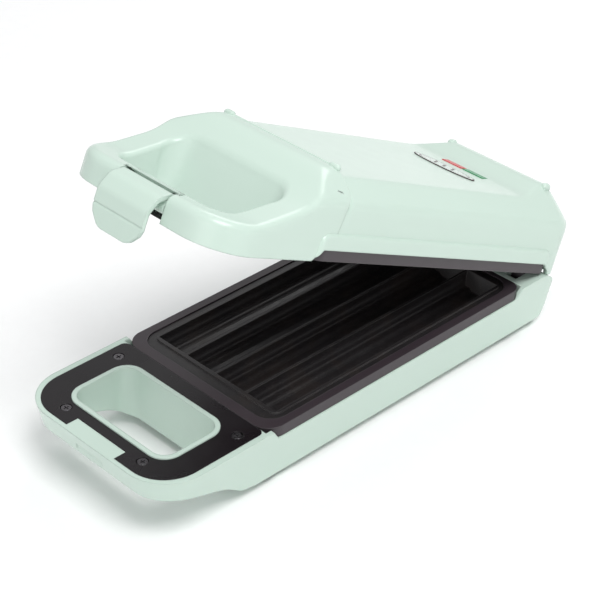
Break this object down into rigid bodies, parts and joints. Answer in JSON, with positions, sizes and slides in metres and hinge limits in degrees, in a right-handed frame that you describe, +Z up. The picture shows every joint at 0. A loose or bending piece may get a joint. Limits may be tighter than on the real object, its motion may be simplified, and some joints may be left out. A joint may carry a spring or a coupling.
{
  "type": "doughnut stick maker",
  "caption": "Hinged clam-shell kitchen appliance that bakes straight fluted dough sticks in long troughs, with finger handles and a front latch.",
  "frame": {"origin": "on the table, under the middle of the bounding box of the half-opened maker", "axes": "+Z up, +Y from the handle to the hinge, +X to the right seen from the handle"},
  "size_m": [0.128, 0.3387, 0.1866],
  "materials": {
    "mint_plastic": "glossy",
    "dark_cover": "satin",
    "dark_frame": "satin",
    "nonstick": "satin non-stick",
    "screw_steel": "blackened",
    "pin_steel": "ground",
    "heater_steel": "oxidised",
    "sheet_steel": "satin",
    "white_ceramic": "unglazed",
    "black_rubber": "matte",
    "lead_sleeve": "braided",
    "red_lens": "clear tinted",
    "green_lens": "clear tinted",
    "lamp_glass": "clear",
    "badge_metal": "satin"
  },
  "bodies": {
    "base": {"base_housing": "mint_plastic", "base_handle_cover": "dark_cover", "base_frame": "dark_frame", "base_plate": "nonstick", "base_handle_screws": "screw_steel", "base_frame_screws": "screw_steel", "base_plate_screws": "screw_steel", "hinge_pins": "pin_steel", "base_heater": "heater_steel", "base_reflector": "sheet_steel", "thermostat": "sheet_steel", "fuse_clip": "sheet_steel", "thermal_fuse": "white_ceramic", "terminal_block": "white_ceramic", "cord_gland": "black_rubber", "feet": "black_rubber", "cord_clamp": "dark_cover", "base_leads": "lead_sleeve"},
    "lid": {"lid_housing": "mint_plastic", "lid_handle_cover": "dark_cover", "lid_frame": "dark_frame", "lid_plate": "nonstick", "lid_handle_screws": "screw_steel", "lid_frame_screws": "screw_steel", "lid_plate_screws": "screw_steel", "lid_heater": "heater_steel", "lid_reflector": "sheet_steel", "lid_leads": "lead_sleeve", "power_lens": "red_lens", "ready_lens": "green_lens", "indicator_lamps": "lamp_glass", "lamp_holder": "dark_cover", "badge": "badge_metal", "latch_pin": "pin_steel"},
    "latch": {"latch": "mint_plastic"}
  },
  "joints": [
    {"name": "lid_hinge", "type": "hinge", "parent": "base", "child": "lid", "pos_m": [0, 0.1367, 0.0255], "axis": [-1, 0, 0], "range_deg": [-26, 69]},
    {"name": "latch_pivot", "type": "hinge", "parent": "lid", "child": "latch", "pos_m": [0, -0.1195, 0.17772], "axis": [-1, 0, 0], "range_deg": [-7, 50]}
  ]
}
